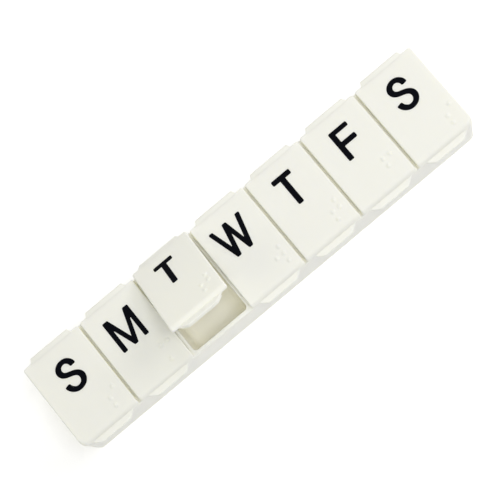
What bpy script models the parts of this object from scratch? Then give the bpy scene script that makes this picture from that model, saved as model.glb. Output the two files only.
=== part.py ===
"""Weekly pill organizer: a long tray of seven wells, each closed by its own lid on a moulded hinge strap.

The frame: X runs along the tray from the first day to the last, Y runs from the thumb tabs back to the
hinges, Z is up. The origin is under the middle of the whole object, on the surface that it stands on.
"""
import math

import bmesh
import bpy
from mathutils import Matrix, Vector

MM = 0.001

# The days in order, with the raised dots of each lid's tactile letter as (column, row), row 0 at the back
DOTS_S = ((0, 1), (0, 2), (1, 0))
DOTS_M = ((0, 0), (0, 2), (1, 0))
DOTS_T = ((0, 1), (0, 2), (1, 0), (1, 1))
DOTS_W = ((0, 1), (1, 0), (1, 1), (1, 2))
DOTS_F = ((0, 0), (0, 1), (1, 0))
DAYS = (
    ("sunday", DOTS_S),
    ("monday", DOTS_M),
    ("tuesday", DOTS_T),
    ("wednesday", DOTS_W),
    ("thursday", DOTS_T),
    ("friday", DOTS_F),
    ("saturday", DOTS_S),
)
OPEN_DAY = "tuesday"
OPEN_ANGLE = math.radians(36)

# The tray
WELL_WIDTH = 19.6 * MM
WELL_LENGTH = 26.6 * MM
WELL_DEPTH = 17.0 * MM
DIVIDER = 1.0 * MM
LONG_WALL = 1.2 * MM
END_WALL = 0.7 * MM
FLOOR = 1.2 * MM
DRAFT = math.radians(1.0)
WELL_CORNER = 1.3 * MM
WELL_FILLET = 2.0 * MM
RIM_ROUND = 0.22 * MM
FOOT_ROUND = 0.4 * MM
FRONT_CORNER = 2.2 * MM
BACK_CORNER = 1.4 * MM

# The lids
SEAT_GAP = 0.3 * MM
LID_THICKNESS = 1.5 * MM
LID_SPACING = 0.75 * MM
LID_CORNER = 0.7 * MM
LID_EDGE_ROUND = 0.32 * MM
LID_UNDER_ROUND = 0.15 * MM
FRONT_BEVEL = 0.85 * MM

# The thumb tab on a lid's front edge
TAB_REACH = 1.85 * MM
TAB_ROOT_WIDTH = 15.4 * MM
TAB_TIP_WIDTH = 10.3 * MM
TAB_HANG = 0.7 * MM
TAB_CORNER = 1.2 * MM
TAB_ROUND = 0.3 * MM
TAB_SET_DOWN = 0.08 * MM
RUNNING_GAP = 0.3 * MM

# The rib under a lid, which drops into the well's mouth
RIB_HEIGHT = 1.2 * MM
RIB_THICKNESS = 1.0 * MM
RIB_CLEARANCE = 0.45 * MM

# The hinge straps
STRAP_WIDTH = 13.6 * MM
STRAP_THICKNESS = 0.5 * MM
STRAP_REACH = 1.4 * MM
STRAP_LID_DROP = 0.3 * MM
STRAP_TRAY_DROP = 0.8 * MM
STRAP_BEND = 0.65 * MM
STRAP_END_GAP = 0.3 * MM
HINGE_SETBACK = 0.9 * MM

# The tactile dots
DOT_PITCH = 2.5 * MM
DOT_DIAMETER = 1.5 * MM
DOT_HEIGHT = 0.45 * MM
DOT_COLUMN = 4.5 * MM
DOT_FRONT_MARGIN = 3.75 * MM
SATURDAY_SHIFT = 1.3 * MM

# How finely curves are faceted
CORNER_STEPS = 4
FILLET_STEPS = 4
ROUND_STEPS = 2
STRAP_STEPS = 6
DOT_SIDES = 10
DOT_RINGS = 3
LEAST_RADIUS = 0.05 * MM

# Shapes that a Boolean joins or cuts reach this far into or past each other
OVERREACH = 0.5 * MM

# Sizes that follow from those above
PITCH = WELL_WIDTH + DIVIDER
RIM = FLOOR + WELL_DEPTH
TRAY_LENGTH = len(DAYS) * PITCH - DIVIDER + 2 * END_WALL
TRAY_WIDTH = WELL_LENGTH + 2 * LONG_WALL
FRONT = TAB_REACH - (TRAY_WIDTH + TAB_REACH + STRAP_REACH) / 2
BACK = FRONT + TRAY_WIDTH
LID_UNDERSIDE = RIM + SEAT_GAP
LID_TOP = LID_UNDERSIDE + LID_THICKNESS
BEVEL_FOOT = LID_TOP - FRONT_BEVEL
TAB_TOP = BEVEL_FOOT - TAB_SET_DOWN
TAB_BOTTOM = LID_UNDERSIDE - TAB_HANG
STRAP_HIGH = LID_TOP - STRAP_LID_DROP
STRAP_LOW = RIM - STRAP_TRAY_DROP
HINGE_Y = BACK + HINGE_SETBACK
HINGE_Z = (STRAP_HIGH + STRAP_LOW) / 2


def clear_scene():
    for old in list(bpy.data.objects):
        bpy.data.objects.remove(old, do_unlink=True)


def plastic(name, colour, roughness):
    """A satin moulded plastic."""
    material = bpy.data.materials.new(name)
    material.use_nodes = True
    shader = material.node_tree.nodes["Principled BSDF"]
    shader.inputs["Base Color"].default_value = (*colour, 1.0)
    shader.inputs["Roughness"].default_value = roughness
    shader.inputs["Metallic"].default_value = 0.0
    return material


def add_object(name, bm):
    """A new object from closed shapes in a bmesh, which this frees. All of them face the same way."""
    if bm.calc_volume(signed=True) < 0:
        bmesh.ops.reverse_faces(bm, faces=bm.faces)
    mesh = bpy.data.meshes.new(name)
    bm.to_mesh(mesh)
    bm.free()
    made = bpy.data.objects.new(name, mesh)
    bpy.context.scene.collection.objects.link(made)
    return made


def finish(made, material):
    made.data.materials.clear()
    made.data.materials.append(material)
    made.data.shade_smooth()
    made.data.set_sharp_from_angle(angle=math.radians(32))


def combine(target, other, operation):
    """Works one Boolean into the target's mesh and removes the other object."""
    modifier = target.modifiers.new(operation.lower(), "BOOLEAN")
    modifier.operation = operation
    modifier.solver = "EXACT"
    modifier.object = other
    bpy.context.view_layer.update()
    evaluated = target.evaluated_get(bpy.context.evaluated_depsgraph_get())
    made = bpy.data.meshes.new_from_object(evaluated)
    target.modifiers.clear()
    old = target.data
    target.data = made
    bpy.data.meshes.remove(old)
    made.name = target.name
    bpy.data.objects.remove(other, do_unlink=True)


def inset_corners(corners, distance):
    """The corners of a convex outline, anticlockwise, after each side moves inwards by a distance."""
    count = len(corners)
    sides = []
    for here in range(count):
        start = Vector(corners[here][:2])
        along = (Vector(corners[(here + 1) % count][:2]) - start).normalized()
        inwards = Vector((-along.y, along.x))
        sides.append((start + inwards * distance, along))
    moved = []
    for here in range(count):
        (point, along), (other, across) = sides[here - 1], sides[here]
        reach = (other - point).cross(across) / along.cross(across)
        x, y = point + along * reach
        moved.append((x, y, max(corners[here][2] - distance, LEAST_RADIUS)))
    return moved


def rounded(corners, steps=CORNER_STEPS):
    """Points of a convex outline whose corners are (x, y, radius), anticlockwise. Radius 0 stays sharp."""
    points = []
    count = len(corners)
    for here in range(count):
        x, y, radius = corners[here]
        corner = Vector((x, y))
        if radius == 0:
            points.append(corner)
            continue
        before = (Vector(corners[here - 1][:2]) - corner).normalized()
        after = (Vector(corners[(here + 1) % count][:2]) - corner).normalized()
        half_angle = before.angle(after) / 2
        centre = corner + (before + after).normalized() * radius / math.sin(half_angle)
        first = corner + before * radius / math.tan(half_angle) - centre
        turn = math.pi - 2 * half_angle
        for step in range(steps + 1):
            points.append(centre + Matrix.Rotation(turn * step / steps, 2) @ first)
    return points


def rectangle(left, right, front, back, front_left, front_right, back_right, back_left):
    """Corners of a rectangle, with the radius of each."""
    return [
        (left, front, front_left),
        (right, front, front_right),
        (right, back, back_right),
        (left, back, back_left),
    ]


def loft(bm, sections):
    """One closed body through level outlines, given as (height, points) from the bottom up."""
    rings = [[bm.verts.new((x, y, z)) for x, y in points] for z, points in sections]
    for lower, upper in zip(rings, rings[1:]):
        for here in range(len(lower)):
            after = (here + 1) % len(lower)
            bm.faces.new((lower[here], lower[after], upper[after], upper[here]))
    bm.faces.new(list(reversed(rings[0])))
    bm.faces.new(rings[-1])


def sweep(bm, profile, start, end):
    """One closed body from an outline of (y, z) points, swept along X."""
    first = [bm.verts.new((start, y, z)) for y, z in profile]
    last = [bm.verts.new((end, y, z)) for y, z in profile]
    for here in range(len(profile)):
        after = (here + 1) % len(profile)
        bm.faces.new((first[here], first[after], last[after], last[here]))
    bm.faces.new(list(reversed(first)))
    bm.faces.new(last)


def quarter(steps):
    """Angles from 0 to a right angle."""
    return [math.pi / 2 * step / steps for step in range(steps + 1)]


def well_centre(index):
    return (index - (len(DAYS) - 1) / 2) * PITCH


def drawn_in(z):
    """How far a tray wall has drawn in at a height, against the rim."""
    return (RIM - z) * math.tan(DRAFT)


def add_tray_body(bm):
    half = TRAY_LENGTH / 2
    corners = rectangle(-half, half, FRONT, BACK, FRONT_CORNER, FRONT_CORNER, BACK_CORNER, BACK_CORNER)
    sections = []
    for angle in quarter(ROUND_STEPS):
        z = FOOT_ROUND * (1 - math.cos(angle))
        inset = FOOT_ROUND * (1 - math.sin(angle)) + drawn_in(z)
        sections.append((z, rounded(inset_corners(corners, inset))))
    for angle in quarter(ROUND_STEPS):
        z = RIM - RIM_ROUND * (1 - math.sin(angle))
        inset = RIM_ROUND * (1 - math.cos(angle)) + drawn_in(z)
        sections.append((z, rounded(inset_corners(corners, inset))))
    loft(bm, sections)


def well_corners(centre, inset, radius):
    """The corners of a well's mouth, drawn in by an inset."""
    half = WELL_WIDTH / 2 - inset
    front = FRONT + LONG_WALL + inset
    back = BACK - LONG_WALL - inset
    return rectangle(centre - half, centre + half, front, back, radius, radius, radius, radius)


def add_well(bm, centre):
    corners = well_corners(centre, 0.0, WELL_CORNER)
    sections = []
    for angle in quarter(FILLET_STEPS):
        z = FLOOR + WELL_FILLET * (1 - math.cos(angle))
        inset = WELL_FILLET * (1 - math.sin(angle)) + drawn_in(z)
        sections.append((z, rounded(inset_corners(corners, inset))))
    for angle in quarter(ROUND_STEPS):
        z = RIM - RIM_ROUND * (1 - math.sin(angle))
        flare = RIM_ROUND * (1 - math.cos(angle)) - drawn_in(z)
        sections.append((z, rounded(inset_corners(corners, -flare))))
    sections.append((RIM + OVERREACH, rounded(inset_corners(corners, -RIM_ROUND))))
    loft(bm, sections)


def make_tray(material):
    """The tray: a drafted box with a round-bottomed well for each day."""
    bm = bmesh.new()
    add_tray_body(bm)
    tray = add_object("tray", bm)
    wells = bmesh.new()
    for index in range(len(DAYS)):
        add_well(wells, well_centre(index))
    combine(tray, add_object("wells", wells), "DIFFERENCE")
    finish(tray, material)


def add_plate(bm, index):
    """The lid's plate, with a bevel along its front edge. The outer lids reach to the tray's ends."""
    right = (PITCH - LID_SPACING) / 2
    left = -right
    front_left = front_right = LID_CORNER
    if index == 0:
        left = -WELL_WIDTH / 2 - END_WALL
        front_left = FRONT_CORNER
    if index == len(DAYS) - 1:
        right = WELL_WIDTH / 2 + END_WALL
        front_right = FRONT_CORNER
    shape = [(LID_UNDERSIDE, LID_UNDER_ROUND), (LID_UNDERSIDE + LID_UNDER_ROUND, 0.0), (BEVEL_FOOT, 0.0)]
    for angle in quarter(ROUND_STEPS):
        z = LID_TOP - LID_EDGE_ROUND * (1 - math.sin(angle))
        shape.append((z, LID_EDGE_ROUND * (1 - math.cos(angle))))
    sections = []
    for z, inset in shape:
        bevelled = max(z - BEVEL_FOOT, 0.0)
        front = FRONT + max(bevelled - inset, 0.0)
        corners = rectangle(left, right, front, BACK, front_left, front_right, LID_CORNER, LID_CORNER)
        sections.append((z, rounded(inset_corners(corners, inset))))
    loft(bm, sections)


def tab_corners(inset, root):
    """The corners of the tab's tapering outline, drawn in by an inset, from its tip back to a root line."""
    taper = (TAB_ROOT_WIDTH - TAB_TIP_WIDTH) / 2 / TAB_REACH
    tip = FRONT - TAB_REACH + inset
    corners = []
    for y, side, radius in ((tip, -1, TAB_CORNER - inset), (tip, 1, TAB_CORNER - inset), (root, 1, 0), (root, -1, 0)):
        half = TAB_ROOT_WIDTH / 2 - taper * (FRONT - y) - inset * math.hypot(1.0, taper)
        corners.append((side * half, y, radius))
    return corners


def add_tab(bm):
    """The thumb tab. It keeps clear of the tray's wall, and above the seat gap it runs into the plate."""
    clear = FRONT - RUNNING_GAP
    inside = FRONT + OVERREACH
    joined = (LID_UNDERSIDE + TAB_TOP - TAB_ROUND) / 2
    shape = [(TAB_BOTTOM, 0.0, clear), (LID_UNDERSIDE, 0.0, clear), (joined, 0.0, inside)]
    for angle in quarter(ROUND_STEPS):
        z = TAB_TOP - TAB_ROUND * (1 - math.sin(angle))
        shape.append((z, TAB_ROUND * (1 - math.cos(angle)), inside))
    loft(bm, [(z, rounded(tab_corners(inset, root))) for z, inset, root in shape])


def add_rib(bm):
    """The ring under the lid that drops into the well's mouth."""
    radius = WELL_CORNER - RIB_CLEARANCE
    bottom = LID_UNDERSIDE - RIB_HEIGHT
    top = LID_UNDERSIDE + OVERREACH
    outer = rounded(well_corners(0.0, RIB_CLEARANCE, radius))
    inner_radius = max(radius - RIB_THICKNESS, LEAST_RADIUS)
    inner = rounded(well_corners(0.0, RIB_CLEARANCE + RIB_THICKNESS, inner_radius))
    rings = []
    for points, z in ((outer, bottom), (outer, top), (inner, top), (inner, bottom)):
        rings.append([bm.verts.new((x, y, z)) for x, y in points])
    for ring, following in zip(rings, rings[1:] + rings[:1]):
        for here in range(len(ring)):
            after = (here + 1) % len(ring)
            bm.faces.new((ring[here], ring[after], following[after], following[here]))


def add_dot(bm, x, y):
    """A raised dot: a spherical cap on a short stem that is sunk into the lid."""
    radius = DOT_DIAMETER / 2
    ball = (radius**2 + DOT_HEIGHT**2) / (2 * DOT_HEIGHT)
    widest = math.asin(radius / ball)
    levels = [(LID_TOP - OVERREACH, radius)]
    for ring in range(DOT_RINGS):
        angle = widest * (1 - ring / DOT_RINGS)
        levels.append((LID_TOP + DOT_HEIGHT - ball * (1 - math.cos(angle)), ball * math.sin(angle)))
    sections = []
    for z, reach in levels:
        turns = [2 * math.pi * side / DOT_SIDES for side in range(DOT_SIDES)]
        sections.append((z, [(x + reach * math.cos(turn), y + reach * math.sin(turn)) for turn in turns]))
    loft(bm, sections)


def place_on_hinge(made, index, opened):
    """Takes a shape built about X = 0 to its well, with its origin on the hinge axis, turned open about it."""
    made.data.transform(Matrix.Translation((0.0, -HINGE_Y, -HINGE_Z)))
    made.location = (well_centre(index), HINGE_Y, HINGE_Z)
    made.rotation_euler = (-opened, 0.0, 0.0)


def make_lid(index, day, dots, opened, material):
    """A lid: its plate and thumb tab, the rib under it and the raised dots on it."""
    bm = bmesh.new()
    add_plate(bm, index)
    lid = add_object("lid_" + day, bm)
    for name, add in (("tab", add_tab), ("rib", add_rib)):
        extra = bmesh.new()
        add(extra)
        combine(lid, add_object(name, extra), "UNION")
    domes = bmesh.new()
    shift = SATURDAY_SHIFT if day == "saturday" else 0.0
    for column, row in dots:
        x = DOT_COLUMN + shift + column * DOT_PITCH
        y = FRONT + DOT_FRONT_MARGIN + (2 - row) * DOT_PITCH
        add_dot(domes, x, y)
    combine(lid, add_object("dots", domes), "UNION")
    finish(lid, material)
    place_on_hinge(lid, index, opened)


def strap_line(opened):
    """The middle line of a hinge strap as (y, z) points, from the tray up and round to the lid.

    Closed, it leaves the tray level, bends up and bends back level to the lid. As the lid opens, each point
    turns about the hinge by a share of the lid's own angle, none at the tray and all of it at the lid.
    """
    middle = BACK + STRAP_REACH - STRAP_THICKNESS / 2 - STRAP_BEND
    closed = [(BACK + STRAP_END_GAP, STRAP_LOW)]
    for height, start in ((STRAP_LOW + STRAP_BEND, -math.pi / 2), (STRAP_HIGH - STRAP_BEND, 0.0)):
        for turned in quarter(STRAP_STEPS):
            y = middle + STRAP_BEND * math.cos(start + turned)
            closed.append((y, height + STRAP_BEND * math.sin(start + turned)))
    closed.append((BACK + STRAP_END_GAP, STRAP_HIGH))
    hinge = Vector((HINGE_Y, HINGE_Z))
    points = []
    for y, z in closed:
        share = (z - STRAP_LOW) / (STRAP_HIGH - STRAP_LOW)
        share = share * share * (3 - 2 * share)
        points.append(hinge + Matrix.Rotation(-opened * share, 2) @ (Vector((y, z)) - hinge))
    return points


def make_strap(index, day, opened, material):
    """A hinge strap, a thin band that joins the tray's back wall to the lid."""
    line = strap_line(opened)
    outer = []
    inner = []
    for here, point in enumerate(line):
        along = line[min(here + 1, len(line) - 1)] - line[max(here - 1, 0)]
        outwards = Vector((along.y, -along.x)).normalized() * STRAP_THICKNESS / 2
        outer.append(point + outwards)
        inner.append(point - outwards)
    bm = bmesh.new()
    sweep(bm, outer + inner[::-1], -STRAP_WIDTH / 2, STRAP_WIDTH / 2)
    strap = add_object("hinge_strap_" + day, bm)
    finish(strap, material)
    place_on_hinge(strap, index, 0.0)


def main():
    clear_scene()
    tray_plastic = plastic("tray_polypropylene", (0.78, 0.76, 0.68), 0.42)
    lid_plastic = plastic("lid_polypropylene", (0.80, 0.79, 0.74), 0.38)
    make_tray(tray_plastic)
    for index, (day, dots) in enumerate(DAYS):
        opened = OPEN_ANGLE if day == OPEN_DAY else 0.0
        make_strap(index, day, opened, tray_plastic)
        make_lid(index, day, dots, opened, lid_plastic)


main()
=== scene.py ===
# %% [markdown]
# # A weekly pill organizer
#
# The real object is one long tray of moulded polypropylene with seven wells. Each well has its own lid, and
# each lid hangs on a strap, a thin band of the same plastic that bends as a hinge. This lesson dresses the
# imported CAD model: it loads that model as a fixed frame and builds finer pieces in the same places, so that
# every edge is soft and every finish is right. The CAD says where each piece goes, so nothing is fitted by
# eye. X runs along the tray from Sunday to Saturday, Y runs from the thumb tabs back to the hinges, Z is up.

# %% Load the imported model
import math

import bmesh
import bpy
from mathutils import Matrix, Vector


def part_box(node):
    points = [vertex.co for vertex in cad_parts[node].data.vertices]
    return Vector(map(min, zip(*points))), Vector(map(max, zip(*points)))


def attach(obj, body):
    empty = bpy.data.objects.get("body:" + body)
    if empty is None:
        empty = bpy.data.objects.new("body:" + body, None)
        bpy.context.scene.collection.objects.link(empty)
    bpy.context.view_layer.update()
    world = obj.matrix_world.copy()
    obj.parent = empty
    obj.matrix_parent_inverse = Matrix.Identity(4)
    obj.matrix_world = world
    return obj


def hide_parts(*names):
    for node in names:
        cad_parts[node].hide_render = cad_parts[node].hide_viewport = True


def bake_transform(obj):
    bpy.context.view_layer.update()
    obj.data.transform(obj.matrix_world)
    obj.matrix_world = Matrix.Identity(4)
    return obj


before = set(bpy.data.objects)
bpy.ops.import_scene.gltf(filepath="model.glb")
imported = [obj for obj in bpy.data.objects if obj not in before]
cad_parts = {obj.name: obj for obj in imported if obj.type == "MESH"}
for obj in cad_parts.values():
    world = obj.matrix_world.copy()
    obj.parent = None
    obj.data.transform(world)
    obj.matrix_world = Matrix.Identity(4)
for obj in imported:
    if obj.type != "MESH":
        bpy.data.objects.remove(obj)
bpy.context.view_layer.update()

MM = 0.001

# %% The days in order, and how far each lid is open
DAYS = ("sunday", "monday", "tuesday", "wednesday", "thursday", "friday", "saturday")
PITCH = 20.6 * MM
OPENED = {"tuesday": math.radians(36)}


def well_centre(day):
    """Where the middle of a day's well is along the tray."""
    return (DAYS.index(day) - (len(DAYS) - 1) / 2) * PITCH


print("well centres in mm:", [round(well_centre(day) / MM, 2) for day in DAYS])

# %% [markdown]
# ## Level outlines and lofts
#
# A moulded box is a stack of level outlines: each one is a rectangle with rounded corners, a little larger
# or smaller than the one below. A cube with a bevel could give such a shape, but its corners and its edges
# would then share one radius, and a tray has a different radius for each. So every piece here is a loft: a
# list of outlines from the bottom up, joined by rings of faces. More steps in a corner make it smoother.

# %% An outline with a radius at each corner
CORNER_STEPS = 10
LEAST_RADIUS = 0.05 * MM


def outline(corners, steps=CORNER_STEPS):
    """Points round an outline, anticlockwise, whose corners are (x, y, radius). Hollow corners work too."""
    points = []
    for here, (x, y, radius) in enumerate(corners):
        corner = Vector((x, y))
        before = (Vector(corners[here - 1][:2]) - corner).normalized()
        after = (Vector(corners[(here + 1) % len(corners)][:2]) - corner).normalized()
        half_angle = before.angle(after) / 2
        turn = math.pi - 2 * half_angle
        if before.cross(after) > 0:
            turn = -turn
        centre = corner + (before + after).normalized() * radius / math.sin(half_angle)
        first = corner + before * radius / math.tan(half_angle) - centre
        for step in range(steps + 1):
            points.append(centre + Matrix.Rotation(turn * step / steps, 2) @ first)
    return points


def rounded_box(left, right, front, back, radii, inset):
    """A rectangle drawn in by an inset. The radii run from front left to back left, anticlockwise."""
    places = (
        (left + inset, front + inset),
        (right - inset, front + inset),
        (right - inset, back - inset),
        (left + inset, back - inset),
    )
    return outline([(x, y, max(radius - inset, LEAST_RADIUS)) for (x, y), radius in zip(places, radii)])


print("points in one rounded rectangle:", len(rounded_box(-1, 1, -1, 1, (0.2,) * 4, 0.0)))

# %% Rings of points, joined into closed bodies
def join_rings(bm, lower, upper):
    """A ring of faces between two rings that have the same number of points."""
    for here in range(len(lower)):
        after = (here + 1) % len(lower)
        bm.faces.new((lower[here], lower[after], upper[after], upper[here]))


def closed_body(bm, rings):
    """Joins each ring to the next and puts a face over both ends."""
    for lower, upper in zip(rings, rings[1:]):
        join_rings(bm, lower, upper)
    bm.faces.new(list(reversed(rings[0])))
    bm.faces.new(rings[-1])


def loft(bm, sections):
    """A closed body through level outlines, given as (height, points) from the bottom up."""
    closed_body(bm, [[bm.verts.new((x, y, z)) for x, y in points] for z, points in sections])


def quarter(steps):
    """Angles from 0 to a right angle, for a rounded edge."""
    return [math.pi / 2 * step / steps for step in range(steps + 1)]


# %% Turning shapes into pieces
def add_piece(name, bm):
    """A new piece from closed shapes, which all face outwards."""
    if bm.calc_volume(signed=True) < 0:
        bmesh.ops.reverse_faces(bm, faces=bm.faces)
    mesh = bpy.data.meshes.new(name)
    bm.to_mesh(mesh)
    bm.free()
    piece = bpy.data.objects.new(name, mesh)
    bpy.context.scene.collection.objects.link(piece)
    return piece


def work_in(piece, other, operation):
    """Cuts or joins another shape into a piece with an exact Boolean, and removes that shape."""
    modifier = piece.modifiers.new(operation.lower(), "BOOLEAN")
    modifier.operation = operation
    modifier.solver = "EXACT"
    modifier.object = other
    bpy.context.view_layer.update()
    evaluated = piece.evaluated_get(bpy.context.evaluated_depsgraph_get())
    worked = bpy.data.meshes.new_from_object(evaluated)
    piece.modifiers.clear()
    piece.data = worked
    bpy.data.objects.remove(other, do_unlink=True)


def smooth(piece, sharper_than=40):
    """Smooth shading that stays flat on flat faces: big faces decide the normals at their borders."""
    piece.data.shade_smooth()
    piece.data.set_sharp_from_angle(angle=math.radians(sharper_than))
    modifier = piece.modifiers.new("flat faces stay flat", "WEIGHTED_NORMAL")
    modifier.keep_sharp = True


# %% [markdown]
# ## The tray
#
# The tray is a long box with seven wells and thin walls between them. A mould has to let go of it, so every
# wall leans in by one degree towards the bottom. The wells have rounded feet, which let a finger slide a
# pill up the wall. The outside is one loft and each well is another, and an exact Boolean cuts the wells
# out. Building the walls face by face would also work, but the Boolean keeps every wall a true thickness.

# %% The tray's sizes
WELL_WIDTH = 19.6 * MM
LONG_WALL = 1.2 * MM
END_WALL = 0.7 * MM
FLOOR = 1.2 * MM
RIM = 18.2 * MM
DRAFT = math.radians(1.0)
FRONT = -14.275 * MM
BACK = 14.725 * MM
FRONT_CORNER = 2.2 * MM
BACK_CORNER = 1.4 * MM
TRAY_END = (PITCH * (len(DAYS) - 1) + WELL_WIDTH) / 2 + END_WALL


def drawn_in(z):
    """How far a wall has leant in at a height, against the rim."""
    return (RIM - z) * math.tan(DRAFT)


tray_low, tray_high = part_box("tray")
tray_lengths = (2 * TRAY_END, tray_high.x - tray_low.x)
print("the tray's length here and in the CAD, mm:", [round(side / MM, 2) for side in tray_lengths])

# %% The outside of the tray
FOOT_ROUND = 0.4 * MM
RIM_ROUND = 0.22 * MM
EDGE_STEPS = 6


def tray_outside():
    bm = bmesh.new()
    radii = (FRONT_CORNER, FRONT_CORNER, BACK_CORNER, BACK_CORNER)
    levels = []
    for angle in quarter(EDGE_STEPS):
        z = FOOT_ROUND * (1 - math.cos(angle))
        levels.append((z, FOOT_ROUND * (1 - math.sin(angle)) + drawn_in(z)))
    for angle in quarter(EDGE_STEPS):
        z = RIM - RIM_ROUND * (1 - math.sin(angle))
        levels.append((z, RIM_ROUND * (1 - math.cos(angle)) + drawn_in(z)))
    loft(bm, [(z, rounded_box(-TRAY_END, TRAY_END, FRONT, BACK, radii, inset)) for z, inset in levels])
    return add_piece("pill_tray", bm)


tray = tray_outside()
print("each wall leans in from rim to foot by, mm:", round(drawn_in(0.0) / MM, 2))

# %% The wells, cut into it
WELL_CORNER = 1.3 * MM
WELL_FILLET = 2.0 * MM
PAST_THE_RIM = 0.5 * MM


def well(bm, centre):
    levels = []
    for angle in quarter(EDGE_STEPS):
        z = FLOOR + WELL_FILLET * (1 - math.cos(angle))
        levels.append((z, WELL_FILLET * (1 - math.sin(angle)) + drawn_in(z)))
    for angle in quarter(EDGE_STEPS):
        z = RIM - RIM_ROUND * (1 - math.sin(angle))
        levels.append((z, drawn_in(z) - RIM_ROUND * (1 - math.cos(angle))))
    levels.append((RIM + PAST_THE_RIM, -RIM_ROUND))
    left, right = centre - WELL_WIDTH / 2, centre + WELL_WIDTH / 2
    front, back = FRONT + LONG_WALL, BACK - LONG_WALL
    loft(bm, [(z, rounded_box(left, right, front, back, (WELL_CORNER,) * 4, inset)) for z, inset in levels])


wells = bmesh.new()
for day in DAYS:
    well(wells, well_centre(day))
work_in(tray, add_piece("wells", wells), "DIFFERENCE")
smooth(tray)
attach(tray, "tray")
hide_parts("tray")
print("tray faces:", len(tray.data.polygons))

# %% [markdown]
# ## The lids
#
# A lid is a flat plate with a bevel along its front edge and a thumb tab that stands out below the bevel.
# The plate and its tab are one loft, so the hollow corners where the tab leaves the plate come out of the
# outline itself. Above the tab, the tab's own points slide back onto the front line, which closes its top.
# A lip under the tab and a ring that drops into the well's mouth are joined on with Booleans.

# %% The lid's sizes
LID_UNDERSIDE = 18.5 * MM
LID_TOP = 20.0 * MM
LID_SPACING = 0.75 * MM
LID_CORNER = 0.7 * MM
LID_EDGE_ROUND = 0.5 * MM
LID_UNDER_ROUND = 0.15 * MM
FRONT_BEVEL = 0.85 * MM
BEVEL_FOOT = LID_TOP - FRONT_BEVEL


def lid_sides(day):
    """The left and right edge of a lid built about X = 0. The outer lids reach to the tray's ends."""
    left = -(PITCH - LID_SPACING) / 2
    right = -left
    if day == DAYS[0]:
        left = -WELL_WIDTH / 2 - END_WALL
    if day == DAYS[-1]:
        right = WELL_WIDTH / 2 + END_WALL
    return left, right


print("an inner lid's width in mm:", round((PITCH - LID_SPACING) / MM, 2))

# %% How the top edges round over
BEVEL_ROUND = 1.6 * MM
BEVEL_SLOPE = math.radians(45)


def edge_inset(z):
    """How far the side and back edges have rounded in at a height."""
    risen = max(z - (LID_TOP - LID_EDGE_ROUND), 0.0)
    under = max(LID_UNDERSIDE + LID_UNDER_ROUND - z, 0.0)
    return under + LID_EDGE_ROUND - math.sqrt(max(LID_EDGE_ROUND**2 - risen**2, 0.0))


def front_line(z):
    """Where the front edge is at a height: upright, then a bevel that rounds into the top."""
    reach = BEVEL_ROUND * math.tan(BEVEL_SLOPE / 2)
    if z > LID_TOP - reach * math.sin(BEVEL_SLOPE):
        risen = z - (LID_TOP - BEVEL_ROUND)
        return FRONT + FRONT_BEVEL + reach - math.sqrt(max(BEVEL_ROUND**2 - risen**2, 0.0))
    under = max(LID_UNDERSIDE + LID_UNDER_ROUND - z, 0.0)
    return FRONT + under + max(z - BEVEL_FOOT, 0.0)


print("the flat top begins behind the front edge by, mm:", round((front_line(LID_TOP) - FRONT) / MM, 2))

# %% The thumb tab
TAB_REACH = 1.85 * MM
TAB_ROOT_WIDTH = 15.4 * MM
TAB_TIP_WIDTH = 10.3 * MM
TAB_TAPER = (TAB_ROOT_WIDTH - TAB_TIP_WIDTH) / 2 / TAB_REACH


def tab_half_width(y, inset):
    """Half the tab's width at a place from front to back, with its slanting sides drawn in by an inset."""
    return TAB_ROOT_WIDTH / 2 - TAB_TAPER * (FRONT - y) - inset * math.hypot(1.0, TAB_TAPER)


print("the tab tapers by", round(math.degrees(math.atan(TAB_TAPER)), 1), "degrees on each side")

# %% The outline of a lid at any height
TAB_CORNER = 1.2 * MM
TAB_HOLLOW = 1.2 * MM


def lid_level(day, z, tab_inset, flattened):
    """The outline of a lid at a height. If flattened, the tab's points lie on the front line."""
    left, right = lid_sides(day)
    inset = edge_inset(z)
    front = front_line(z)
    tip = FRONT - TAB_REACH + tab_inset
    root_half = tab_half_width(FRONT if flattened else front, tab_inset)
    tip_half = tab_half_width(tip, tab_inset)
    outer_left = FRONT_CORNER if day == DAYS[0] else LID_CORNER
    outer_right = FRONT_CORNER if day == DAYS[-1] else LID_CORNER
    corners = [
        (left + inset, front, max(outer_left - inset, LEAST_RADIUS)),
        (-root_half, front, TAB_HOLLOW),
        (-tip_half, tip, TAB_CORNER - tab_inset),
        (tip_half, tip, TAB_CORNER - tab_inset),
        (root_half, front, TAB_HOLLOW),
        (right - inset, front, max(outer_right - inset, LEAST_RADIUS)),
        (right - inset, BACK - inset, max(LID_CORNER - inset, LEAST_RADIUS)),
        (left + inset, BACK - inset, max(LID_CORNER - inset, LEAST_RADIUS)),
    ]
    points = outline(corners)
    if flattened:
        per_corner = CORNER_STEPS + 1
        tab_points = range(per_corner, 5 * per_corner)
        points = [Vector((p.x, front)) if here in tab_points else p for here, p in enumerate(points)]
    return points


print("points in a lid's outline:", len(lid_level(DAYS[0], LID_UNDERSIDE, 0.0, False)))

# %% The plate and its tab in one loft
TAB_ROUND = 0.3 * MM
TAB_TOP = BEVEL_FOOT - 0.08 * MM
TAB_CLOSING_RISE = 0.004 * MM


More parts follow.
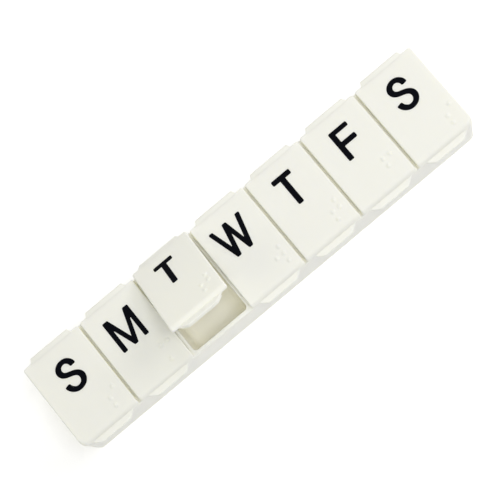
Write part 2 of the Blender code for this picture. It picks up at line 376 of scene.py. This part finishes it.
def plate(day):
    bm = bmesh.new()
    levels = [(LID_UNDERSIDE, 0.0, False), (LID_UNDERSIDE + LID_UNDER_ROUND, 0.0, False)]
    for angle in quarter(EDGE_STEPS):
        z = TAB_TOP - TAB_ROUND * (1 - math.sin(angle))
        levels.append((z, TAB_ROUND * (1 - math.cos(angle)), False))
    levels.append((TAB_TOP + TAB_CLOSING_RISE, TAB_ROUND, True))
    levels.append((BEVEL_FOOT, TAB_ROUND, True))
    for angle in quarter(EDGE_STEPS):
        z = LID_TOP - LID_EDGE_ROUND * (1 - math.sin(angle))
        levels.append((z, TAB_ROUND, True))
    loft(bm, [(z, lid_level(day, z, tab_inset, flattened)) for z, tab_inset, flattened in levels])
    return add_piece("lid_plate_" + day, bm)


# %% The lip that hangs under the tab
TAB_HANG = 0.7 * MM
RUNNING_GAP = 0.3 * MM
LIP_STEP = 0.02 * MM
JOINED_DEPTH = 0.3 * MM


def tab_lip():
    """The lip keeps clear of the tray's wall. Its foot is rounded, and its top is sunk into the tab."""
    bm = bmesh.new()
    back = FRONT - RUNNING_GAP
    levels = []
    for angle in quarter(EDGE_STEPS):
        z = LID_UNDERSIDE - TAB_HANG + TAB_ROUND * (1 - math.cos(angle))
        levels.append((z, LIP_STEP + TAB_ROUND * (1 - math.sin(angle))))
    levels.append((LID_UNDERSIDE + JOINED_DEPTH, LIP_STEP))
    sections = []
    for z, inset in levels:
        tip = FRONT - TAB_REACH + inset
        tip_half, back_half = tab_half_width(tip, inset), tab_half_width(back, inset)
        corners = [
            (-tip_half, tip, TAB_CORNER - inset),
            (tip_half, tip, TAB_CORNER - inset),
            (back_half, back, LEAST_RADIUS),
            (-back_half, back, LEAST_RADIUS),
        ]
        sections.append((z, outline(corners)))
    loft(bm, sections)
    return add_piece("lip", bm)


# %% The ring that drops into the well's mouth
RIB_HEIGHT = 1.2 * MM
RIB_THICKNESS = 1.0 * MM
RIB_ROUND = 0.25 * MM
RIB_CLEARANCE = 0.45 * MM


def ring():
    """A closed band, rounded at its foot, that runs round just inside the well's mouth."""
    bm = bmesh.new()
    mouth = (-WELL_WIDTH / 2, WELL_WIDTH / 2, FRONT + LONG_WALL, BACK - LONG_WALL, (WELL_CORNER,) * 4)
    foot = LID_UNDERSIDE - RIB_HEIGHT
    profile = [(0.0, LID_UNDERSIDE + JOINED_DEPTH)]
    for angle in quarter(EDGE_STEPS):
        profile.append((RIB_ROUND * (1 - math.cos(angle)), foot + RIB_ROUND * (1 - math.sin(angle))))
    profile += [(RIB_THICKNESS - inset, z) for inset, z in reversed(profile)]
    rings = []
    for inset, z in profile:
        points = rounded_box(*mouth, RIB_CLEARANCE + inset)
        rings.append([bm.verts.new((x, y, z)) for x, y in points])
    for this, following in zip(rings, rings[1:] + rings[:1]):
        join_rings(bm, this, following)
    return add_piece("ring", bm)


print("the ring's width in mm:", round((WELL_WIDTH - 2 * RIB_CLEARANCE) / MM, 2))

# %% [markdown]
# ## The tactile letters
#
# Each lid also says its day to a fingertip, with three or four low domes beside the printed letter. A dome
# is a soft bell whose foot runs into the lid without a corner, since a mould's pits are rounded by use. The
# same Boolean joins it into the lid, so light runs over both as over one moulded surface. A bump texture
# would be cheaper, but a dome this high shows its outline from the side.

# %% The domes of each day, as (column, row from the back)
DOT_PITCH = 2.5 * MM
DOT_LEFT_COLUMN = 4.5 * MM
DOT_FRONT_ROW = FRONT + 3.75 * MM
DOT_ROWS = 3
SATURDAY_SHIFT = 1.3 * MM
DOTS = {
    "sunday": ((0, 1), (0, 2), (1, 0)),
    "monday": ((0, 0), (0, 2), (1, 0)),
    "tuesday": ((0, 1), (0, 2), (1, 0), (1, 1)),
    "wednesday": ((0, 1), (1, 0), (1, 1), (1, 2)),
    "thursday": ((0, 1), (0, 2), (1, 0), (1, 1)),
    "friday": ((0, 0), (0, 1), (1, 0)),
    "saturday": ((0, 1), (0, 2), (1, 0)),
}
print("domes on each lid:", {day: len(dots) for day, dots in DOTS.items()})

# %% One dome, and the domes of a day
DOT_RADIUS = 1.0 * MM
DOT_HEIGHT = 0.32 * MM
DOT_SIDES = 28
DOT_RINGS = 9
DOT_TIP = 0.02


def dome(bm, x, y):
    levels = [(LID_TOP - JOINED_DEPTH, DOT_RADIUS)]
    for step in range(DOT_RINGS):
        share = max(1 - step / (DOT_RINGS - 1), DOT_TIP)
        levels.append((LID_TOP + DOT_HEIGHT * math.cos(math.pi / 2 * share) ** 2, DOT_RADIUS * share))
    turns = [2 * math.pi * side / DOT_SIDES for side in range(DOT_SIDES)]
    loft(bm, [(z, [(x + r * math.cos(t), y + r * math.sin(t)) for t in turns]) for z, r in levels])


def domes(day):
    bm = bmesh.new()
    left_column = DOT_LEFT_COLUMN + (SATURDAY_SHIFT if day == "saturday" else 0.0)
    for column, row in DOTS[day]:
        dome(bm, left_column + column * DOT_PITCH, DOT_FRONT_ROW + (DOT_ROWS - 1 - row) * DOT_PITCH)
    return add_piece("domes", bm)


# %% Each lid is built flat, then set on its hinge
HINGE_Y = BACK + 0.9 * MM
HINGE_Z = 18.55 * MM


def set_on_hinge(mesh, day):
    """Takes a shape built about X = 0 to its well and turns it open about the hinge."""
    hinge = Matrix.Translation((0.0, HINGE_Y, HINGE_Z))
    opened = Matrix.Rotation(-OPENED.get(day, 0.0), 4, "X")
    mesh.transform(Matrix.Translation((well_centre(day), 0.0, 0.0)) @ hinge @ opened @ hinge.inverted())


lids = {}
for day in DAYS:
    lid = plate(day)
    work_in(lid, tab_lip(), "UNION")
    work_in(lid, ring(), "UNION")
    work_in(lid, domes(day), "UNION")
    set_on_hinge(lid.data, day)
    smooth(lid)
    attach(lid, "lid_" + day)
    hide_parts("lid_" + day)
    lids[day] = lid
print("lid faces:", {day: len(lid.data.polygons) for day, lid in lids.items()})

# %% [markdown]
# ## The hinge straps
#
# A moulded strap is a band half a millimetre thick. It leaves the tray's back wall, bends up and runs back
# into the lid, flush with its top. It spreads out where it meets them, which keeps it from tearing, and it
# is thinnest in the bend. Each strap is a rounded cross-section carried along a line. The ends are sunk in
# the tray and the lid, and the line turns by a smoothly growing share of the lid's opening, so that the band
# follows the tray at one end and the lid at the other.

# %% The strap's middle line
STRAP_WIDTH = 13.6 * MM
STRAP_REACH = 1.4 * MM
STRAP_THICKNESS = 0.5 * MM
STRAP_HIGH = LID_TOP - 0.3 * MM
STRAP_LOW = RIM - 0.8 * MM
STRAP_SUNK = 0.35 * MM
STRAP_BEND = 0.5 * MM
STRAP_STEPS = 12
STRAP_LEVEL_STEPS = 6
HINGE = Vector((HINGE_Y, HINGE_Z))


def strap_line(opened):
    """(y, z) points from inside the tray's wall, round two bends, to inside the lid."""
    middle = BACK + STRAP_REACH - STRAP_THICKNESS / 2 - STRAP_BEND
    start_y = BACK - STRAP_SUNK
    step_y = (middle - start_y) / STRAP_LEVEL_STEPS
    level = [start_y + step_y * step for step in range(STRAP_LEVEL_STEPS)]
    line = [Vector((y, STRAP_LOW)) for y in level]
    for height, start in ((STRAP_LOW + STRAP_BEND, -math.pi / 2), (STRAP_HIGH - STRAP_BEND, 0.0)):
        for angle in quarter(STRAP_STEPS):
            bend = Vector((math.cos(start + angle), math.sin(start + angle))) * STRAP_BEND
            line.append(Vector((middle, height)) + bend)
    line += [Vector((y, STRAP_HIGH)) for y in reversed(level)]
    turned = []
    for point in line:
        risen = (point.y - STRAP_LOW) / (STRAP_HIGH - STRAP_LOW)
        eased = risen * risen * (3 - 2 * risen)
        turned.append(HINGE + Matrix.Rotation(-opened * eased, 2) @ (point - HINGE))
    return turned


closed_line = strap_line(0.0)
length = sum((b - a).length for a, b in zip(closed_line, closed_line[1:]))
print("length of a strap along its bend in mm:", round(length / MM, 2))

# %% The band round it
STRAP_FLARE = 0.9 * MM
FLARE_END = 0.7
FLARE_CURVE = 1.5
STRAP_BEND_THICKNESS = 0.42 * MM
STRAP_SIDE_STEPS = 5


def strap(day):
    line = strap_line(OPENED.get(day, 0.0))
    lengths = [0.0]
    for here, after in zip(line, line[1:]):
        lengths.append(lengths[-1] + (after - here).length)
    bm = bmesh.new()
    rings = []
    for here, point in enumerate(line):
        along = line[min(here + 1, len(line) - 1)] - line[max(here - 1, 0)]
        outwards = Vector((along.y, -along.x)).normalized()
        from_end = min(lengths[here], lengths[-1] - lengths[here]) / (lengths[-1] / 2)
        spread = max(1 - from_end / FLARE_END, 0.0) ** FLARE_CURVE
        half_width = STRAP_WIDTH / 2 + STRAP_FLARE * spread
        half_thick = (STRAP_BEND_THICKNESS + (STRAP_THICKNESS - STRAP_BEND_THICKNESS) * spread) / 2
        section = []
        for side, start in ((1, -math.pi / 2), (-1, math.pi / 2)):
            for step in range(STRAP_SIDE_STEPS + 1):
                angle = start + math.pi * step / STRAP_SIDE_STEPS
                x = side * (half_width - half_thick) + half_thick * math.cos(angle)
                y, z = point + outwards * half_thick * math.sin(angle)
                section.append(bm.verts.new((x, y, z)))
        rings.append(section)
    closed_body(bm, rings)
    return add_piece("strap_" + day, bm)


strap_widths = (STRAP_WIDTH + 2 * STRAP_FLARE, STRAP_WIDTH)
print("a strap's width at its ends and in its bend, mm:", [round(width / MM, 2) for width in strap_widths])

# %% Hang each strap between the tray and its lid
BEND_MARGIN = 0.25 * MM

straps = {}
for day in DAYS:
    band = strap(day)
    centre = well_centre(day)
    band.data.transform(Matrix.Translation((centre, 0.0, 0.0)))
    band.data.shade_smooth()
    high = Vector((BACK, STRAP_HIGH - BEND_MARGIN))
    high = HINGE + Matrix.Rotation(-OPENED.get(day, 0.0), 2) @ (high - HINGE)
    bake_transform(band)
    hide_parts("hinge_strap_" + day)
    straps[day] = band
print("straps:", len(straps))

# %% [markdown]
# ## The printed letters
#
# The days are printed in black on the lids, in a plain grotesque face. Print is only ink, a few hundredths
# of a millimetre thick, so each letter is a very thin plate that is sunk a little into the lid's top. The
# straight letters are outlines with slightly rounded corners, as ink rounds them. The S is a ribbon along a
# smooth curve, broader where it climbs than where it turns. A font could print them too, but no font has
# quite these shapes. The print sits a little differently on each lid, as it does on the real one.

# %% The straight letters, as corners in millimetres from the middle of the lid
LETTER_M = (
    (-5.05, -0.6), (-3.54, -0.6), (-3.54, 6.7), (-0.98, -0.6), (0.27, -0.6), (2.81, 6.9), (2.81, -0.5),
    (4.3, -0.5), (4.3, 10.08), (2.44, 10.08), (-0.34, 1.95), (-3.17, 10.03), (-5.05, 10.03),
)
LETTER_W = (
    (-3.66, -0.4), (-2.32, -0.4), (-0.83, 6.25), (0.62, -0.4), (1.95, -0.4), (4.81, 10.0), (3.23, 10.0),
    (1.33, 2.9), (-0.17, 9.95), (-1.59, 9.95), (-3.07, 2.95), (-5.06, 10.0), (-6.53, 10.0),
)
LETTER_T = (
    (-1.28, -0.12), (0.52, -0.12), (0.52, 8.56), (2.83, 8.56), (2.83, 10.14), (-3.7, 10.14), (-3.7, 8.56),
    (-1.28, 8.56),
)
LETTER_F = (
    (-3.02, 0.02), (-1.27, 0.02), (-1.27, 4.42), (3.42, 4.42), (3.42, 6.02), (-1.27, 6.02), (-1.27, 8.68),
    (3.44, 8.68), (3.44, 10.12), (-3.02, 10.12),
)
print("corners in M, W, T and F:", [len(corners) for corners in (LETTER_M, LETTER_W, LETTER_T, LETTER_F)])

# %% Ink over an outline
INK_SUNK = 0.05 * MM
INK_PROUD = 0.02 * MM
INK_CORNER = 0.4
INK_HOLLOW = 0.1
INK_CORNER_STEPS = 5


def printed(name, points):
    """A thin plate of ink over a closed line of points, in millimetres."""
    bm = bmesh.new()
    places = [(x * MM, y * MM) for x, y in points]
    loft(bm, [(LID_TOP - INK_SUNK, places), (LID_TOP + INK_PROUD, places)])
    return add_piece(name, bm)


def straight_letter(name, corners, shift=(0.0, 0.0)):
    """Outer corners are rounder than the hollow ones, where two strokes meet."""
    places = [Vector(corner) + Vector(shift) for corner in corners]
    rounded = []
    for here, place in enumerate(places):
        before, after = place - places[here - 1], places[(here + 1) % len(places)] - place
        rounded.append((place.x, place.y, INK_CORNER if before.cross(after) > 0 else INK_HOLLOW))
    return printed(name, outline(rounded, steps=INK_CORNER_STEPS))


# %% The S, as a ribbon along a smooth curve
S_LINE = (
    (2.08, 6.72), (1.98, 7.55), (1.55, 8.3), (0.72, 8.95), (-0.4, 9.14), (-1.5, 8.85), (-2.3, 8.15),
    (-2.65, 7.2), (-2.36, 6.15), (-1.45, 5.4), (-0.2, 4.95), (1.05, 4.45), (2.0, 3.65), (2.35, 2.6),
    (2.05, 1.5), (1.2, 0.6), (0.0, 0.22), (-1.25, 0.36), (-2.25, 1.05), (-2.85, 1.9), (-3.08, 2.82),
)
S_PARTS = 8


def smooth_line(points):
    """More points between these, on a curve that passes through each of them."""
    knots = [Vector(p) for p in points]
    knots = [2 * knots[0] - knots[1]] + knots + [2 * knots[-1] - knots[-2]]
    line = []
    for a, b, c, d in zip(knots, knots[1:], knots[2:], knots[3:]):
        curve = (2 * b, c - a, 2 * a - 5 * b + 4 * c - d, 3 * b - a - 3 * c + d)
        for part in range(S_PARTS):
            t = part / S_PARTS
            line.append((curve[0] + curve[1] * t + curve[2] * t**2 + curve[3] * t**3) / 2)
    return line + [knots[-2]]


print("points along the S:", len(smooth_line(S_LINE)))

# %% The stroke of the S
S_HALF_WIDE = 0.95
S_HALF_HIGH = 0.76


def s_letter(name, shift=(0.0, 0.0)):
    """The stroke is broader across than up and down, and the corners of both ends are a little round."""
    line = [p + Vector(shift) for p in smooth_line(S_LINE)]
    left, right = [], []
    for here, point in enumerate(line):
        along = (line[min(here + 1, len(line) - 1)] - line[max(here - 1, 0)]).normalized()
        across = Vector((-along.y * S_HALF_WIDE, along.x * S_HALF_HIGH))
        to_end = min((point - line[0]).length, (point - line[-1]).length)
        rounded_off = INK_CORNER - math.sqrt(INK_CORNER**2 - max(INK_CORNER - to_end, 0.0) ** 2)
        across *= 1 - rounded_off / across.length
        left.append(point + across)
        right.append(point - across)
    return printed(name, right + left[::-1])


# %% Print each lid
letters = {
    "sunday": s_letter("print_sunday"),
    "monday": straight_letter("print_monday", LETTER_M),
    "tuesday": straight_letter("print_tuesday", LETTER_T, shift=(-0.34, 0.2)),
    "wednesday": straight_letter("print_wednesday", LETTER_W),
    "thursday": straight_letter("print_thursday", LETTER_T),
    "friday": straight_letter("print_friday", LETTER_F),
    "saturday": s_letter("print_saturday", shift=(0.6, 0.68)),
}
for day, letter in letters.items():
    set_on_hinge(letter.data, day)
    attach(letter, "lid_" + day)
print("letters:", len(letters))

# %% [markdown]
# ## Finishes
#
# The plastic is ivory polypropylene with a satin surface. Up close it isn't even: the mould leaves a fine
# grain and very shallow waves, hands leave places that shine more or less, and the colour drifts a little.
# On top of these, a warmer colour is painted into wells and gaps as painted bounce light, for the light that
# meets the plastic many times there. Each of these is one node group, built once and used in a material
# with its own values. The groups only put out colours, heights and values, and the shader stays in the
# material.

# %% A node group with named sockets
def effect(name, inputs, output, kind):
    """A new group with one output. Its inputs are (name, value), and three numbers make a colour."""
    group = bpy.data.node_groups.new(name, "ShaderNodeTree")
    for label, value in inputs:
        is_colour = not isinstance(value, float)
        socket_type = "NodeSocketColor" if is_colour else "NodeSocketFloat"
        socket = group.interface.new_socket(label, in_out="INPUT", socket_type=socket_type)
        socket.default_value = (*value, 1.0) if is_colour else value
    group.interface.new_socket(output, in_out="OUTPUT", socket_type=kind)
    print("effect:", name, "from", [label for label, value in inputs])
    return group, group.nodes.new("NodeGroupInput"), group.nodes.new("NodeGroupOutput")


# %% Nodes with their settings and inputs
def node(tree, kind, settings=(), **inputs):
    """Each input is a value or another node's output, under its label or, as in _0, its number."""
    made = tree.nodes.new(kind)
    for name, value in dict(settings).items():
        setattr(made, name, value)
    for name, value in inputs.items():
        socket = made.inputs[int(name[1:])] if name[0] == "_" else made.inputs[name.replace("_", " ")]
        if isinstance(value, bpy.types.NodeSocket):
            tree.links.new(value, socket)
        else:
            socket.default_value = value
    return made


def calculate(tree, operation, first, second=0.0):
    return node(tree, "ShaderNodeMath", {"operation": operation}, _0=first, _1=second).outputs[0]


# %% Two helpers that several effects use
def patches_of(tree, size, detail, roughness):
    """Noise over the piece, whose patches are about as large as a size."""
    place = node(tree, "ShaderNodeTexCoord").outputs["Object"]
    return node(tree, "ShaderNodeTexNoise", Vector=place, Detail=detail, Roughness=roughness,
                Scale=calculate(tree, "DIVIDE", 1.0, size)).outputs[0]


def mixed_colour(tree, share, first, second):
    """The first colour, with a share of the second in it."""
    mix = node(tree, "ShaderNodeMix", {"data_type": "RGBA"})
    for socket, value in (("Factor", share), ("A", first), ("B", second)):
        tree.links.new(value, mix.inputs[socket])
    return mix.outputs["Result"]


# %% Moulded grain: fine pits over shallow waves
grain, source, sink = effect(
    "moulded grain",
    (("Grain size", 0.35 * MM), ("Grain depth", 0.5), ("Wave size", 9.0 * MM), ("Wave depth", 0.5)),
    "Height", "NodeSocketFloat",
)
fine = patches_of(grain, source.outputs["Grain size"], detail=3.0, roughness=0.6)
waves = patches_of(grain, source.outputs["Wave size"], detail=1.0, roughness=0.4)
fine = calculate(grain, "MULTIPLY", fine, source.outputs["Grain depth"])
waves = calculate(grain, "MULTIPLY", waves, source.outputs["Wave depth"])
grain.links.new(calculate(grain, "ADD", fine, waves), sink.inputs["Height"])

# %% Handling: patches that shine more or less, and fine rubbing marks along the tray
RUBBING_SCALE = (250.0, 1600.0, 1600.0)
NOISE_MIDDLE = 0.5

handling, source, sink = effect(
    "handling",
    (("Roughness", 0.4), ("Patch size", 12.0 * MM), ("Variation", 0.08), ("Rubbing", 0.05)),
    "Roughness", "NodeSocketFloat",
)
patches = patches_of(handling, source.outputs["Patch size"], detail=4.0, roughness=0.55)
place = node(handling, "ShaderNodeTexCoord").outputs["Object"]
stretched = node(handling, "ShaderNodeMapping", Vector=place, Scale=RUBBING_SCALE).outputs[0]
marks = node(handling, "ShaderNodeTexNoise", Vector=stretched, Detail=2.0, Roughness=0.5,
             Scale=1.0).outputs[0]
roughness = source.outputs["Roughness"]
for pattern, amount in ((patches, "Variation"), (marks, "Rubbing")):
    centred = calculate(handling, "SUBTRACT", pattern, NOISE_MIDDLE)
    change = calculate(handling, "MULTIPLY", centred, source.outputs[amount])
    roughness = calculate(handling, "ADD", roughness, change)
handling.links.new(roughness, sink.inputs["Roughness"])

# %% Colour drift: the dye is never mixed quite evenly
drift, source, sink = effect(
    "colour drift",
    (("Colour", (0.8, 0.8, 0.75)), ("Other colour", (0.8, 0.78, 0.7)), ("Patch size", 25.0 * MM),
     ("Amount", 0.3)),
    "Colour", "NodeSocketColor",
)
patches = patches_of(drift, source.outputs["Patch size"], detail=3.0, roughness=0.5)
share = calculate(drift, "MULTIPLY", patches, source.outputs["Amount"])
drifted = mixed_colour(drift, share, source.outputs["Colour"], source.outputs["Other colour"])
drift.links.new(drifted, sink.inputs["Colour"])

# %% Painted bounce light: a warmer colour painted into wells and gaps, where light meets the ivory plastic many times
OCCLUSION_SAMPLES = 12

painted_bounce, source, sink = effect(
    "painted bounce light",
    (("Colour", (0.8, 0.8, 0.75)), ("Warm colour", (0.8, 0.76, 0.6)), ("Gap reach", 10.0 * MM),
     ("Well reach", 25.0 * MM), ("Open", 0.7), ("Closed", 0.35)),
    "Colour", "NodeSocketColor",
)
# Painted bounce light: occlusion among the pieces and within a piece marks wells and gaps, where the warmer
# colour is painted in.
among_pieces = node(painted_bounce, "ShaderNodeAmbientOcclusion", {"samples": OCCLUSION_SAMPLES},
                    Distance=source.outputs["Gap reach"]).outputs["AO"]
within_piece = node(painted_bounce, "ShaderNodeAmbientOcclusion", {"samples": OCCLUSION_SAMPLES, "only_local": True},
                    Distance=source.outputs["Well reach"]).outputs["AO"]
openness = calculate(painted_bounce, "MINIMUM", among_pieces, within_piece)
closed = node(painted_bounce, "ShaderNodeMapRange", {"interpolation_type": "SMOOTHSTEP"}, Value=openness,
              From_Min=source.outputs["Open"], From_Max=source.outputs["Closed"]).outputs["Result"]
with_painted_bounce = mixed_colour(painted_bounce, closed, source.outputs["Colour"], source.outputs["Warm colour"])
painted_bounce.links.new(with_painted_bounce, sink.inputs["Colour"])

# %% [markdown]
# ### Satin polypropylene
#
# The lids, the straps and the tray come out of one mould, so one function makes all three finishes. Where
# pieces enclose it, a warmer colour is painted in as painted bounce light, since light that falls into a well
# or a gap meets the walls many times and takes their colour each time. Some light also passes under the
# surface, which softens thin edges as polypropylene does. A render with more bounces of light would deepen
# the wells by itself, but slowly.

# %% The plastic
PLASTIC_IOR = 1.49
PLASTIC_SHINE = 0.35
SPREAD = (1.0, 0.98, 0.85)
GRAIN_STRENGTH = 0.35
GRAIN_HEIGHT = 0.02 * MM


def polypropylene(name, colour, other_colour, warm_colour, under_surface, spread, roughness, grain_depth):
    """A share of the light passes under the surface, and the spread says how far it goes."""
    material = bpy.data.materials.new(name)
    material.use_nodes = True
    tree = material.node_tree
    shader = tree.nodes["Principled BSDF"]
    shader.inputs["IOR"].default_value = PLASTIC_IOR
    shader.inputs["Specular IOR Level"].default_value = PLASTIC_SHINE
    shader.inputs["Subsurface Weight"].default_value = under_surface
    shader.inputs["Subsurface Radius"].default_value = SPREAD
    shader.inputs["Subsurface Scale"].default_value = spread
    colours = node(tree, "ShaderNodeGroup", {"node_tree": drift}, Colour=(*colour, 1.0),
                   Other_colour=(*other_colour, 1.0))
    # Painted bounce light: the warmer colour is painted into the wells and gaps of the base colour.
    with_painted_bounce = node(tree, "ShaderNodeGroup", {"node_tree": painted_bounce}, Colour=colours.outputs["Colour"],
                  Warm_colour=(*warm_colour, 1.0))
    shine = node(tree, "ShaderNodeGroup", {"node_tree": handling}, Roughness=roughness)
    relief = node(tree, "ShaderNodeGroup", {"node_tree": grain}, Grain_depth=grain_depth)
    bump = node(tree, "ShaderNodeBump", Strength=GRAIN_STRENGTH, Distance=GRAIN_HEIGHT,
                Height=relief.outputs["Height"])
    tree.links.new(with_painted_bounce.outputs["Colour"], shader.inputs["Base Color"])
    tree.links.new(shine.outputs["Roughness"], shader.inputs["Roughness"])
    tree.links.new(bump.outputs["Normal"], shader.inputs["Normal"])
    return material


# %% The three finishes, and the pieces that have them
# The third colour of each finish is painted bounce light, which is painted into its wells and gaps.
lid_plastic = polypropylene(
    "lid polypropylene",
    colour=(0.93, 0.93, 0.855), other_colour=(0.92, 0.91, 0.81), warm_colour=(0.98, 0.96, 0.72),
    under_surface=0.4, spread=1.5 * MM, roughness=0.6, grain_depth=0.4,
)
strap_plastic = polypropylene(
    "strap polypropylene",
    colour=(0.93, 0.93, 0.86), other_colour=(0.92, 0.91, 0.82), warm_colour=(0.94, 0.93, 0.8),
    under_surface=0.05, spread=0.5 * MM, roughness=0.5, grain_depth=0.3,
)
tray_plastic = polypropylene(
    "tray polypropylene",
    colour=(0.93, 0.93, 0.86), other_colour=(0.91, 0.9, 0.81), warm_colour=(0.998, 0.975, 0.84),
    under_surface=0.35, spread=2.5 * MM, roughness=0.5, grain_depth=0.6,
)
finished = {tray_plastic: [tray], lid_plastic: lids.values(), strap_plastic: straps.values()}
for finish, pieces in finished.items():
    for piece in pieces:
        piece.data.materials.clear()
        piece.data.materials.append(finish)
print("finishes:", [finish.name for finish in finished])

# %% [markdown]
# ### Printed ink
#
# The ink is almost black with a breath of blue, and flatter than the plastic. Pad printing leaves tiny
# thin places where the plastic's grain kept the ink off, so its colour and its shine both waver.

# %% The ink
INK_SHINE = 0.03
INK_GRAIN_STRENGTH = 0.3
INK_GRAIN_HEIGHT = 0.01 * MM


def ink(name, colour, thin_colour):
    """The ink is mostly its first colour, and leans to the other one in its thin places."""
    material = bpy.data.materials.new(name)
    material.use_nodes = True
    tree = material.node_tree
    shader = tree.nodes["Principled BSDF"]
    shader.inputs["Specular IOR Level"].default_value = INK_SHINE
    colours = node(tree, "ShaderNodeGroup", {"node_tree": drift}, Colour=(*colour, 1.0),
                   Other_colour=(*thin_colour, 1.0), Patch_size=0.5 * MM, Amount=0.8)
    shine = node(tree, "ShaderNodeGroup", {"node_tree": handling}, Roughness=0.5,
                 Patch_size=1.5 * MM, Variation=0.2)
    relief = node(tree, "ShaderNodeGroup", {"node_tree": grain}, Grain_depth=0.8)
    bump = node(tree, "ShaderNodeBump", Strength=INK_GRAIN_STRENGTH, Distance=INK_GRAIN_HEIGHT,
                Height=relief.outputs["Height"])
    tree.links.new(colours.outputs["Colour"], shader.inputs["Base Color"])
    tree.links.new(shine.outputs["Roughness"], shader.inputs["Roughness"])
    tree.links.new(bump.outputs["Normal"], shader.inputs["Normal"])
    return material


black_ink = ink("black ink", colour=(0.0015, 0.0018, 0.0035), thin_colour=(0.004, 0.0045, 0.008))
for letter in letters.values():
    letter.data.materials.append(black_ink)
print("ink:", black_ink.name)

# %% [markdown]
# ## Floor, light and camera
#
# The object lies on a white sweep under soft light, and the ground around it is as white as paper can be
# shown. A very pale floor that also glows a little does that without a hard shadow. The largest softbox
# hangs overhead and a little to the front, one stands at each side, the right one brighter, and one lights
# the back. White surroundings fill in the rest. A single lamp would throw one dark shadow into the well.

# %% The floor
FLOOR_HALF = 3.0
FLOOR_GLOW = 0.25

bm = bmesh.new()
for x, y in ((-1, -1), (1, -1), (1, 1), (-1, 1)):
    bm.verts.new((x * FLOOR_HALF, y * FLOOR_HALF, 0.0))
bm.faces.new(bm.verts)
mesh = bpy.data.meshes.new("floor")
bm.to_mesh(mesh)
bm.free()
floor = bpy.data.objects.new("floor", mesh)
bpy.context.scene.collection.objects.link(floor)

paper = bpy.data.materials.new("white sweep")
paper.use_nodes = True
paper_shader = paper.node_tree.nodes["Principled BSDF"]
paper_shader.inputs["Base Color"].default_value = (0.95, 0.95, 0.95, 1.0)
paper_shader.inputs["Roughness"].default_value = 0.9
paper_shader.inputs["Specular IOR Level"].default_value = 0.1
paper_shader.inputs["Emission Color"].default_value = (1.0, 1.0, 1.0, 1.0)
paper_shader.inputs["Emission Strength"].default_value = FLOOR_GLOW
floor.data.materials.append(paper)
print("the floor's side in metres:", 2 * FLOOR_HALF)

# %% The white surroundings
SURROUNDINGS_STRENGTH = 0.28

bpy.context.scene.view_settings.view_transform = "Standard"
world = bpy.data.worlds.new("white surroundings")
world.use_nodes = True
world.node_tree.nodes["Background"].inputs["Color"].default_value = (1.0, 1.0, 1.0, 1.0)
world.node_tree.nodes["Background"].inputs["Strength"].default_value = SURROUNDINGS_STRENGTH
bpy.context.scene.world = world
print("surroundings:", world.name, SURROUNDINGS_STRENGTH)

# %% The softboxes
LIGHT_DISTANCE = 0.7


def softbox(name, lean_right, lean_back, width, height, watts, colour=(1.0, 1.0, 1.0)):
    """A rectangular light that looks at the middle of the tray. It leans from overhead, in degrees."""
    lean = Vector((math.tan(math.radians(lean_right)), math.tan(math.radians(lean_back)), 1.0))
    place = lean.normalized() * LIGHT_DISTANCE
    light = bpy.data.lights.new(name, "AREA")
    light.shape = "RECTANGLE"
    light.size = width
    light.size_y = height
    light.energy = watts
    light.color = colour
    held = bpy.data.objects.new(name, light)
    held.location = place
    held.rotation_euler = (-place).to_track_quat("-Z", "Y").to_euler()
    bpy.context.scene.collection.objects.link(held)
    print(name, "in metres:", [round(side, 2) for side in place])


softbox("key softbox", 4, -15, 0.4, 0.2, 1.66, (0.99, 1.0, 1.06))
softbox("right softbox", 50, 0, 0.3, 0.4, 1.4, (1.0, 0.97, 0.92))
softbox("left softbox", -50, 0, 0.3, 0.4, 0.68, (1.0, 0.97, 0.72))
softbox("back light", 22, 38, 0.3, 0.3, 0.65)

# %% The camera, high above the front and rolled so that the tray runs from corner to corner
CAMERA_PLACE = Vector((11.98, -113.095, 541.46)) * MM
CAMERA_TARGET = Vector((0.18926, -1.00297, 20.0)) * MM
CAMERA_ROLL = math.radians(-45.85)
CAMERA_LENS = 134.863

camera = bpy.data.objects.new("camera", bpy.data.cameras.new("camera"))
camera.data.lens = CAMERA_LENS
camera.data.sensor_width = 36.0
camera.data.clip_start = 0.01
aim = (CAMERA_TARGET - CAMERA_PLACE).to_track_quat("-Z", "Y").to_matrix()
rolled = aim @ Matrix.Rotation(CAMERA_ROLL, 3, "Z")
camera.matrix_world = Matrix.Translation(CAMERA_PLACE) @ rolled.to_4x4()
bpy.context.scene.collection.objects.link(camera)
bpy.context.scene.camera = camera
looking = aim @ Vector((0.0, 0.0, -1.0))
print("the camera looks down at", round(math.degrees(math.asin(-looking.z)), 1), "degrees")
